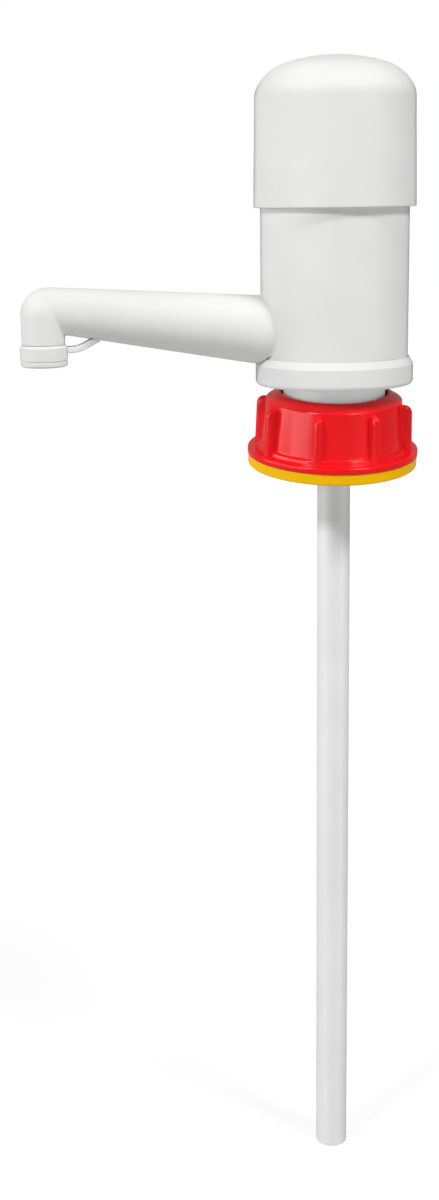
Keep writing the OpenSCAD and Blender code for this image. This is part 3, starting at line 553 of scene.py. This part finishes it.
def neck():
    """The neck through the screw cap: tube socket, flange, clip groove, ball seat and a vent at the back."""
    wall_in, socket_in = NECK_R - NECK_WALL, TUBE_END_R + FACE_GAP
    bm = bmesh.new()
    turned(bm, softened([
        (socket_in, SOCKET_LOW, 0.3), (SOCKET_R, SOCKET_LOW, 0.6), (SOCKET_R, SOCKET_TOP, 0.8),
        (wall_in, SOCKET_TOP, 0.8), (wall_in, GASKET_TOP), (FLANGE_R, GASKET_TOP), (FLANGE_R, FLANGE_TOP),
        (NECK_R, FLANGE_TOP), (NECK_R, COLLAR_Z), (NECK_TOP_R, COLLAR_Z), (NECK_TOP_R, CLIP_LOW),
        (CLIP_R, CLIP_LOW), (CLIP_R, CLIP_TOP), (NECK_TOP_R, CLIP_TOP), (NECK_TOP_R, NECK_TOP),
        (CUP_R, NECK_TOP), (CUP_R, CUP_FLOOR), (CAGE_R, CUP_FLOOR), (CAGE_R, CAGE_FLOOR),
        (INLET_SEAT_R, CAGE_FLOOR), (INLET_R, CAGE_FLOOR + INLET_R - INLET_SEAT_R), (INLET_R, SOCKET_END),
        (socket_in, SOCKET_END),
    ]), 144)
    way = Matrix.Translation((0, NECK_R - 4.0, VENT_Z)) @ Matrix.Rotation(-math.pi / 2, 4, "X")
    vent = [(0, 0), (0.8, 0), (0.8, 3.7), (1.2, 4.1), (1.2, 6.0), (0, 6.0)]
    piece = bored(mesh_object("neck", bm), vent, way)
    return dressed(piece, neck_plastic, "white_plastic", "inlet_neck", body="pump_body")


def suction_tube():
    """The long dip tube, stepped at its top for the neck's socket."""
    step, top = SOCKET_LOW - FACE_GAP, SOCKET_END - FACE_GAP
    bm = bmesh.new()
    turned(bm, softened([
        (TUBE_BORE, TUBE_LOW, 0.35), (TUBE_R, TUBE_LOW, 0.45), (TUBE_R, step, 0.3), (TUBE_END_R, step),
        (TUBE_END_R, top, 0.3), (TUBE_BORE, top, 0.3),
    ]), 96)
    piece = mesh_object("suction_tube", bm)
    return dressed(piece, tube_plastic, "natural_plastic", "dip_tube", body="pump_body")


# Spout, its closure and strap


def arm_radius(s):
    """The tapered arm's radius at station s."""
    return ROOT_R + (TIP_R - ROOT_R) * (s - BODY_R) / (REACH - BODY_R)


def underside(s):
    """The point [s, z] of the arm's underside below station s."""
    r = arm_radius(s)
    return np.array([s + r * math.sin(RISE), PORT_Z + (s - BODY_R) * math.tan(RISE) - r * math.cos(RISE)])


def melt(a, b, k):
    """The lower of two values, rounded off over a width k."""
    near = np.maximum(k - np.abs(a - b), 0) / k
    return np.minimum(a, b) - near * near * k / 4


def spout_field(p):
    """How far points [s, y, z] lie outside the arm, the elbow's bend and the outlet pipe."""
    s, y, z = p[..., 0], p[..., 1], p[..., 2]
    c, w = math.cos(RISE), math.sin(RISE)
    t = (s - BODY_R) * c + (z - PORT_Z) * w
    # The arm slims toward the elbow, and the bend widens again to the round pipe
    share = np.clip((s - SLIM_FROM) / SLIM_RUN, 0.0, 1.0)
    slim = 1 - ARM_SLIM * share * share * (3 - 2 * share)
    off = np.hypot(y / slim, (z - PORT_Z) * c - (s - BODY_R) * w)
    back = BEND_R * math.tan((math.pi / 2 + RISE) / 2)
    arm = np.maximum(off - arm_radius(BODY_R + t * c), t - (REACH - BODY_R) / c + back)
    pipe_r = OUTLET_R + (TIP_R - OUTLET_R) * (z - SHOULDER_Z) / (ELBOW_Z - SHOULDER_Z)
    pipe = np.hypot(np.hypot(s - REACH, y), np.maximum(z - ELBOW_Z + back, 0.0)) - pipe_r
    bend_s, bend_z = s - REACH + BEND_R, z - ELBOW_Z + back
    share = np.clip(1 - np.arctan2(bend_z, bend_s) / (math.pi / 2 + RISE), 0.0, 1.0)
    slim = 1 - ARM_SLIM * (1 - share * share * (3 - 2 * share))
    bend = np.hypot(np.hypot(bend_s, bend_z) - BEND_R, y / slim) - TIP_R
    bend = np.maximum(bend, -np.minimum(bend_z, bend_s * c + bend_z * w) - 0.02)
    # Arm and pipe melt together more widely in the inner corner and toward the elbow's top
    inner = np.clip((REACH - s + ELBOW_Z - z - 9.0) / 7.0, 0.0, 1.0)
    fade = np.clip((z - ELBOW_Z + 4.0) / 5.0, 0.0, 1.0)
    return np.minimum(melt(arm, pipe, 0.2 + 0.7 * inner + 1.6 * fade), bend)


def ring_in_plane(centre, up, phi):
    """The spout's outline in the plane through centre that holds up and the Y axis."""
    way = np.stack([up[0] * np.cos(phi), np.sin(phi), up[1] * np.cos(phi)], -1)
    middle = np.array([centre[0], 0.0, centre[1]])
    low, high = np.zeros_like(phi), np.full_like(phi, 18.0)
    for _ in range(44):
        half = (low + high) / 2
        inside = spout_field(middle + half[:, None] * way) < 0
        low, high = np.where(inside, half, low), np.where(inside, high, half)
    return middle + low[:, None] * way


def spout_arm():
    """The spout as one skin: valve chamber, root, arm, elbow, outlet pipe and spigot, and the plug's ring."""
    count = 112
    phi = np.linspace(0, 2 * np.pi, count, endpoint=False)
    slope, lean = math.tan(RISE), math.sin(RISE)
    up = np.array([-math.sin(RISE), math.cos(RISE)])
    fillet = 1.2
    # The valve's chamber, from its blind end to its mouth
    rings = [
        np.stack([np.full(count, s), PLUG_BORE * np.sin(phi), PORT_Z + PLUG_BORE * np.cos(phi)], -1)
        for s in (CHAMBER_END, CHAMBER_END - 0.3, BODY_R - 2.2, BODY_R - 2.5)
    ]
    # The root: a fillet on the body, trimmed flat above the collar and round its bevel
    for d in (
        -ROOT_SUNK, 0.0, 0.05, 0.14, 0.3, 0.5, 0.8, 1.15, 1.55, 2.0, 2.6, 3.4, 4.4, 5.6, 7.0, 8.6, 10.4,
        12.4, 14.6, 17.0, ROOT_RUN,
    ):
        gap = min(max(fillet - d, 0.0), fillet)
        swell = fillet - math.sqrt(fillet * fillet - gap * gap)
        mix = min(max(d / ROOT_RUN, 0.0), 1.0)
        mix = mix * mix * (3 - 2 * mix)
        station = np.full(count, BODY_R + max(d, 0))
        for _ in range(6):
            r = arm_radius(station) + swell
            body = np.sqrt(BODY_FACE_R**2 - (r * np.sin(phi)) ** 2)
            station = (1 - mix) * (body + d + r * np.cos(phi) * lean) + mix * (BODY_R + d)
        r = arm_radius(station) + swell
        s = station + r * np.cos(phi) * up[0]
        y = r * np.sin(phi)
        z = PORT_Z + (station - BODY_R) * slope + r * np.cos(phi) * up[1]
        slant = (COLLAR_TOP - COLLAR_EDGE) / (COLLAR_R - BODY_R)
        bevel = COLLAR_TOP - (np.hypot(s, y) - BODY_R - TRIM_GAP) * slant
        floor = np.maximum(COLLAR_EDGE + TRIM_GAP, bevel)
        z = -melt(-z, -floor, TRIM_SOFT)
        rings.append(np.stack([s, y, z], -1))
    # The arm
    pivot = underside(REACH - TIP_R - 1.2) - np.array([0.6, 0.9])
    axis_foot = BODY_R + ((pivot[0] - BODY_R) * math.cos(RISE) + (pivot[1] - PORT_Z) * lean) * math.cos(RISE)
    for s in np.linspace(BODY_R + ROOT_RUN, axis_foot, 40)[1:-1]:
        centre = (s, PORT_Z + (s - BODY_R) * slope)
        ring = ring_in_plane(centre, up, phi)
        ring[:, 2] = -melt(-ring[:, 2], -(COLLAR_EDGE + TRIM_GAP), TRIM_SOFT)
        rings.append(ring)
    # The elbow: planes that fan out about the inner corner
    start = math.pi / 2 + RISE
    foot = np.array([axis_foot, PORT_Z + (axis_foot - BODY_R) * slope])
    reach_a, reach_b = np.linalg.norm(foot - pivot), REACH - pivot[0]
    for k in range(41):
        share = k / 40
        angle = start * (1 - share)
        u = np.array([math.cos(angle), math.sin(angle)])
        rings.append(ring_in_plane(pivot + u * (reach_a * (1 - share) + reach_b * share), u, phi))
    # The outlet pipe, its shoulder, and the spigot with its bore
    for r, z in (
        (OUTLET_R + 0.01, SHOULDER_Z + 1.2), (OUTLET_R, SHOULDER_Z + 0.5), (OUTLET_R, SHOULDER_Z + 0.3),
        (OUTLET_R - 0.05, SHOULDER_Z + 0.14), (OUTLET_R - 0.14, SHOULDER_Z + 0.05),
        (OUTLET_R - 0.3, SHOULDER_Z), (SPIGOT_R + 0.1, SHOULDER_Z), (SPIGOT_R, SHOULDER_Z - 0.1),
        (SPIGOT_R, SHOULDER_Z - 0.5), (SPIGOT_R, SPIGOT_LOW + 0.8), (SPIGOT_R, SPIGOT_LOW + 0.5),
        (SPIGOT_R - 0.15, SPIGOT_LOW + 0.15), (SPIGOT_R - 0.45, SPIGOT_LOW),
        (SPIGOT_BORE + 0.35, SPIGOT_LOW), (SPIGOT_BORE + 0.1, SPIGOT_LOW + 0.1),
        (SPIGOT_BORE, SPIGOT_LOW + 0.35), (SPIGOT_BORE, SPIGOT_LOW + 0.8), (SPIGOT_BORE, ELBOW_Z - 4.0),
        (SPIGOT_BORE - 0.8, ELBOW_Z - 1.5), (SPIGOT_BORE - 3.0, ELBOW_Z + 0.4),
    ):
        rings.append(np.stack([REACH + r * np.cos(phi), r * np.sin(phi), np.full(count, z)], -1))
    bm = bmesh.new()
    skins = [[bm.verts.new((-p[0], p[1], p[2])) for p in ring] for ring in rings]
    skins.insert(0, [bm.verts.new((-CHAMBER_END, 0, PORT_Z))])
    skins.append([bm.verts.new((-REACH, 0, ELBOW_Z + 1.0))])
    join_rings(bm, skins)
    plug = [(PLUG_BORE, 0, 0.3), (PLUG_R, 0, 0.4), (PLUG_R, PLUG_L), (PLUG_BORE, PLUG_L)]
    turned(bm, softened(plug), 64, outwards(PLUG_S))
    piece = mesh_object("spout_arm", bm, 40)
    return dressed(piece, white_plastic, "white_plastic", "spout", body="pump_body")


def closure():
    """The outlet's cap, with a groove near its bottom."""
    groove = CLOSURE_LOW + 2.3
    bm = bmesh.new()
    turned(bm, softened([
        (0, CLOSURE_LOW), (CLOSURE_R - 0.15, CLOSURE_LOW, 1.7), (CLOSURE_R - 0.1, groove - 0.3, 0.15),
        (CLOSURE_R - 0.5, groove, 0.12), (CLOSURE_R, groove + 0.35, 0.15),
        (CLOSURE_R, CLOSURE_TOP - 0.9, 0.3), (CLOSURE_R - 0.8, CLOSURE_TOP, 0.15),
        (SPIGOT_R + FACE_GAP, CLOSURE_TOP, 0.1), (SPIGOT_R + FACE_GAP, CLOSURE_LOW + CLOSURE_FLOOR),
        (0, CLOSURE_LOW + CLOSURE_FLOOR),
    ]), 112, Matrix.Translation((-REACH, 0, 0)))
    piece = mesh_object("closure", bm)
    return dressed(piece, white_plastic, "white_plastic", "outlet_cap", body="outlet_closure")


UNDER_ANGLE = RISE + math.atan((ROOT_R - TIP_R) / (REACH - BODY_R) * math.cos(RISE))
STUD_AT = underside(REACH - STUD_BACK)
STUD_PLACE = Matrix.Translation((-STUD_AT[0], 0, STUD_AT[1])) @ Matrix.Rotation(UNDER_ANGLE, 4, "Y")


def strap():
    """The flat strap: out of the spout's underside, down to a soft knee, and level into the closure."""
    level = CLOSURE_TOP - STRAP_INSET - STRAP_T / 2
    knee = np.array([REACH - CLOSURE_R - STRAP_REACH, level])
    end = np.array([REACH - CLOSURE_R + 0.35, level])
    rise = (STUD_AT - knee) / np.linalg.norm(STUD_AT - knee)
    root = STUD_AT + 1.3 * rise
    soft = 2.4
    first, last = knee + soft * rise, knee + np.array([soft, 0.0])
    path = [root + (first - root) * u for u in np.linspace(0, 1, 12)[:-1]]
    path += [(1 - u) ** 2 * first + 2 * u * (1 - u) * knee + u * u * last for u in np.linspace(0, 1, 13)]
    path = np.array(path + [end])
    half_w, half_t, edge = STRAP_W / 2, STRAP_T / 2, 0.55
    section = []
    for cx, cz, a in (
        (half_w - edge, half_t - edge, 0), (edge - half_w, half_t - edge, 90),
        (edge - half_w, edge - half_t, 180), (half_w - edge, edge - half_t, 270),
    ):
        section += arc(cx, cz, edge, a, a + 90, 5)
    bm = bmesh.new()
    rings = []
    for i, p in enumerate(path):
        way = path[min(i + 1, len(path) - 1)] - path[max(i - 1, 0)]
        way = way / np.linalg.norm(way)
        out = np.array([-way[1], way[0]])
        rings.append([bm.verts.new((-(p[0] + out[0] * v), u, p[1] + out[1] * v)) for u, v in section])
    join_rings(bm, rings)
    bm.faces.new(rings[0])
    bm.faces.new(list(reversed(rings[-1])))
    piece = dressed(mesh_object("strap", bm, 45), white_plastic, "white_plastic", "cap_strap")
    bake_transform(piece)
    return piece


def stud():
    """The hidden dowel between the strap's root and the spout."""
    bm = bmesh.new()
    turned(bm, softened([
        (0, -STUD_DOWN), (STUD_R, -STUD_DOWN, 0.2), (STUD_R, STUD_UP, 0.2), (0, STUD_UP),
    ]), 32, STUD_PLACE)
    return dressed(mesh_object("stud", bm), white_plastic, "white_plastic", "strap_stud", body="pump_body")


# Screw cap

# The loose cap leans on its front edge
NUT_PLACE = (
    Matrix.Translation(Vector(NUT_PIVOT) * MM) @ Matrix.Rotation(NUT_TILT, 4, "X")
    @ Matrix.Translation(Vector(NUT_PIVOT) * -MM)
)


def grip_rib():
    """One grip rib along +X, half round across and with a rounded crest."""
    top, crest, half = NUT_EDGE - 1.0, 3.2, RIB_W / 2
    bm = bmesh.new()
    rows = []
    for angle in np.radians(np.linspace(-90, 90, 17)):
        inset = (half - 0.1) * (1 - math.cos(angle))
        side = [(NUT_WALL_R - 1.0, FLANGE_Z - 0.6), (RIB_R + 0.5 - inset, FLANGE_Z - 0.6)]
        side += arc(RIB_R - crest, top - crest, crest - inset, 0, 90, 10) + [(NUT_WALL_R - 1.0, top - inset)]
        rows.append([bm.verts.new((x, half * math.sin(angle), z)) for x, z in side])
    for near, far in zip(rows, rows[1:]):
        for k in range(len(near)):
            m = (k + 1) % len(near)
            bm.faces.new((near[k], far[k], far[m], near[m]))
    bm.faces.new(rows[0])
    bm.faces.new(list(reversed(rows[-1])))
    return mesh_object("grip_rib", bm, 40)


def running_thread():
    """The thread inside the screw cap, a ridge that runs out at both ends."""
    turns, steps, low, run_out = 1.4, 96, -14.0, 0.12
    bm = bmesh.new()
    rings = []
    for k in range(int(turns * steps) + 1):
        t = k / steps
        fade = min(1.0, t / run_out, (turns - t) / run_out)
        fade = max(fade, 0.02)
        crest = THREAD_R + 0.3 - (THREAD_R + 0.3 - CREST_R) * fade
        z = low + PITCH * t
        ring = []
        for r, h in (
            (THREAD_R + 0.5, -1.7), (THREAD_R - 0.02, -1.6), (crest + 0.15, -0.62), (crest, -0.42),
            (crest, 0.42), (crest + 0.15, 0.62), (THREAD_R - 0.02, 1.6), (THREAD_R + 0.5, 1.7),
        ):
            a = 2 * math.pi * t
            ring.append(bm.verts.new((r * math.cos(a), r * math.sin(a), z + h)))
        rings.append(ring)
    join_rings(bm, rings)
    bm.faces.new(rings[0])
    bm.faces.new(list(reversed(rings[-1])))
    return mesh_object("running_thread", bm, 40)


def screw_cap():
    """The red screw cap with its flange, grip ribs and thread, leaning as it sits loose."""
    bm = bmesh.new()
    turned(bm, softened([
        (NUT_HOLE_R, NUT_UNDER, 0.3), (NUT_HOLE_R, NUT_TOP, 0.5), (NUT_HOLE_R + 0.9, NUT_TOP, 0.5),
        (NUT_WALL_R, NUT_EDGE, 0.9), (NUT_FOOT_R, FLANGE_Z + 1.8, 0.5),
        (NUT_FOOT_R + 1.2, FLANGE_Z + 1.35, 0.5), (NUT_FOOT_R + 1.5, FLANGE_Z, 0.35),
        (NUT_FLANGE_R, FLANGE_Z, 0.75), (NUT_FLANGE_R, FLANGE_LOW, 0.25),
        (NUT_FOOT_R, FLANGE_LOW), (NUT_FOOT_R, RING_LOW + 1.4, 0.4), (THREAD_R, RING_LOW + 1.4, 0.6),
        (THREAD_R, NUT_UNDER - 0.8), (THREAD_R - 0.8, NUT_UNDER),
    ]), 180)
    piece = mesh_object("screw_cap", bm)
    rib, thread = grip_rib(), running_thread()
    grown(
        piece, screw_cap_tree(), rib=rib, rib_count=RIB_COUNT, rib_phase=math.radians(RIB_PHASE),
        thread=thread, finish=red_plastic)
    bpy.data.objects.remove(rib)
    bpy.data.objects.remove(thread)
    piece.data.transform(NUT_PLACE)
    return dressed(piece, red_plastic, "red_plastic", "union_nut", body="nut")


def seal_ring():
    """The yellow ring under the red flange."""
    ring_in, ring_top = NUT_FOOT_R + FACE_GAP, FLANGE_LOW - FACE_GAP
    bm = bmesh.new()
    turned(bm, softened([
        (ring_in, ring_top, 0.2), (ring_in, RING_LOW, 0.5), (RING_R, RING_LOW, 0.7), (RING_R, ring_top, 0.3),
    ]), 180)
    piece = mesh_object("seal_ring", bm)
    piece.data.transform(NUT_PLACE)
    return dressed(piece, yellow_plastic, "yellow_plastic", "tamper_ring", body="nut_rocker")


# Springs


def springs():
    """The return spring and the outlet valve's spring, wound from one tree and attached to their bodies."""
    wound = coil_tree()
    bm = bmesh.new()
    lift = mesh_object("lift_spring", bm)
    grown(
        lift, wound, turns=SPRING_TURNS, length=SPRING_L * MM, radius=SPRING_R * MM, wire=SPRING_WIRE * MM,
        end_pitch=(SPRING_WIRE + END_TURN_GAP) * MM, finish=bright_steel)
    lift.data.transform(Matrix.Translation((0, 0, SPRING_LOW * MM)))
    lift.data.shade_smooth()
    dressed(lift, bright_steel, "steel", "return_spring", body="plunger")
    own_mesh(lift)
    bm = bmesh.new()
    valve = mesh_object("valve_spring", bm)
    grown(
        valve, wound, turns=VALVE_TURNS, length=VALVE_L * MM, radius=VALVE_SPRING_R * MM,
        wire=VALVE_WIRE * MM, end_pitch=(VALVE_WIRE + END_TURN_GAP) * MM, finish=bright_steel)
    valve.data.transform(
        Matrix.Translation((-VALVE_S * MM, 0, PORT_Z * MM)) @ Matrix.Rotation(-math.pi / 2, 4, "Y"))
    valve.data.shade_smooth()
    dressed(valve, bright_steel, "steel", "outlet_spring", body="outlet_valve")
    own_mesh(valve)


push_head()
body_tube()
foot_collar()
neck()
suction_tube()
spout_arm()
closure()
strap()
stud()
screw_cap()
seal_ring()
springs()

# The pieces that keep their solids
for material, names in (
    (white_plastic, ("piston_rod", "barrel_head")),
    (natural_plastic, (
        "piston", "piston_band", "spring_seat", "pump_barrel", "inlet_cage", "outlet_seat", "slip_washer",
    )),
    (bright_steel, ("piston_screw", "neck_clip", "inlet_ball", "outlet_ball")),
    (black_rubber, (
        "piston_seal", "rod_wiper", "barrel_seal", "base_seal", "spout_seal", "cap_liner", "flat_gasket",
    )),
):
    for name in names:
        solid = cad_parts[name]
        solid.data.materials.clear()
        solid.data.materials.append(material)


# Camera, light and floor


def camera():
    """The photograph's view: place in millimetres, turn, tilt and roll in degrees, and the lens."""
    place = Vector((-143.70, -664.64, 93.85)) * MM
    turn, tilt, roll = (math.radians(a) for a in (-8.225, 13.834, -0.732))
    ahead = Vector((-math.sin(turn) * math.cos(tilt), math.cos(turn) * math.cos(tilt), -math.sin(tilt)))
    right = Vector((math.cos(turn), math.sin(turn), 0))
    up = right.cross(ahead)
    side = right * math.cos(roll) + up * math.sin(roll)
    top = up * math.cos(roll) - right * math.sin(roll)
    data = bpy.data.cameras.new("camera")
    data.sensor_fit, data.sensor_height, data.sensor_width = "VERTICAL", 36.0, 36.0
    focal_pixels, photo_height = 1685.6, 1200.0
    data.lens = 36.0 * focal_pixels / photo_height
    data.clip_start, data.clip_end = 0.05, 60.0
    view = bpy.data.objects.new("camera", data)
    bpy.context.scene.collection.objects.link(view)
    frame_matrix = Matrix((side, top, -ahead)).transposed().to_4x4()
    frame_matrix.translation = place
    view.matrix_world = frame_matrix
    bpy.context.scene.camera = view


def lamp(name, place, aim, size, power, diffuse=True, gloss=True):
    """A rectangular lamp in metres and watts; diffuse and gloss say which reflections show it."""
    data = bpy.data.lights.new(name, "AREA")
    data.shape, data.size, data.size_y = "RECTANGLE", size[0], size[1]
    data.energy = power
    light = bpy.data.objects.new(name, data)
    bpy.context.scene.collection.objects.link(light)
    light.location = place
    light.rotation_euler = (Vector(aim) - Vector(place)).to_track_quat("-Z", "Y").to_euler()
    light.visible_diffuse, light.visible_glossy = diffuse, gloss


def white_to_lens(tree, share=0.25):
    """1 for rays from the lens and through glass, and a share for rays from gloss."""
    path = put(tree, "ShaderNodeLightPath")
    gloss = put(tree, "ShaderNodeMath", {0: path.outputs["Is Glossy Ray"], 1: share}, operation="MULTIPLY")
    both = put(tree, "ShaderNodeMath", {
        0: path.outputs["Is Camera Ray"], 1: gloss.outputs[0],
    }, operation="MAXIMUM")
    return put(tree, "ShaderNodeMath", {
        0: both.outputs[0], 1: path.outputs["Is Transmission Ray"],
    }, operation="MAXIMUM").outputs[0]


def studio():
    """White surroundings to the lens, dim ones to the pump, five lamps and a pale floor."""
    world = bpy.data.worlds.new("studio")
    bpy.context.scene.world = world
    world.use_nodes = True
    tree = world.node_tree
    tree.nodes.clear()
    soft = put(tree, "ShaderNodeBackground", {"Color": (1, 1, 1, 1), "Strength": 0.08})
    white = put(tree, "ShaderNodeBackground", {"Color": (1, 1, 1, 1), "Strength": 1.0})
    mix = put(tree, "ShaderNodeMixShader", {0: white_to_lens(tree), 1: soft.outputs[0], 2: white.outputs[0]})
    end = put(tree, "ShaderNodeOutputWorld")
    tree.links.new(mix.outputs[0], end.inputs["Surface"])
    lamp("key", (-1.40, -1.25, 1.66), (0, 0, 0.0), (0.38, 0.38), 27.3)
    lamp("right", (0.72, -0.92, 1.50), (0, 0, -0.03), (0.4, 0.4), 19.5)
    lamp("left", (-2.60, 0.32, 0.36), (0, 0, -0.03), (1.15, 1.6), 30.0)
    lamp("low", (1.05, -1.55, -0.15), (0, 0, -0.05), (0.9, 0.9), 8.8, gloss=False)
    lamp("card", (-1.36, -0.60, -0.02), (0, 0, 0.0), (1.0, 0.8), 11.0, diffuse=False)
    bm = bmesh.new()
    bmesh.ops.create_grid(bm, x_segments=1, y_segments=1, size=6000)
    bmesh.ops.translate(bm, vec=(0, 0, TUBE_LOW - 0.5), verts=bm.verts)
    floor = mesh_object("floor", bm)
    paint = bpy.data.materials.new("floor_white")
    paint.use_nodes = True
    nodes = paint.node_tree
    nodes.nodes.clear()
    tone = put(nodes, "ShaderNodeMix", {
        0: white_to_lens(nodes, 1.0), 6: (0.62, 0.62, 0.62, 1), 7: (0.22, 0.22, 0.22, 1),
    }, data_type="RGBA")
    matt = put(nodes, "ShaderNodeBsdfDiffuse", {"Color": tone.outputs[2]})
    spot = put(nodes, "ShaderNodeTexCoord")
    away = put(nodes, "ShaderNodeVectorMath", {0: spot.outputs["Object"]}, operation="LENGTH")
    level = put(nodes, "ShaderNodeMapRange", {
        "Value": away.outputs["Value"], "From Min": 0.4, "From Max": 1.3, "To Min": 0.85, "To Max": 1.0,
    })
    glow = put(nodes, "ShaderNodeEmission", {"Color": (1, 1, 1, 1), "Strength": level.outputs[0]})
    dark = put(nodes, "ShaderNodeEmission", {"Color": (0, 0, 0, 1), "Strength": 0.0})
    seen = put(nodes, "ShaderNodeMixShader", {
        0: white_to_lens(nodes), 1: dark.outputs[0], 2: glow.outputs[0],
    })
    both = put(nodes, "ShaderNodeAddShader", {0: matt.outputs[0], 1: seen.outputs[0]})
    end = put(nodes, "ShaderNodeOutputMaterial")
    nodes.links.new(both.outputs[0], end.inputs["Surface"])
    floor.data.materials.append(paint)


camera()
studio()
bpy.context.scene.view_settings.view_transform = "Standard"
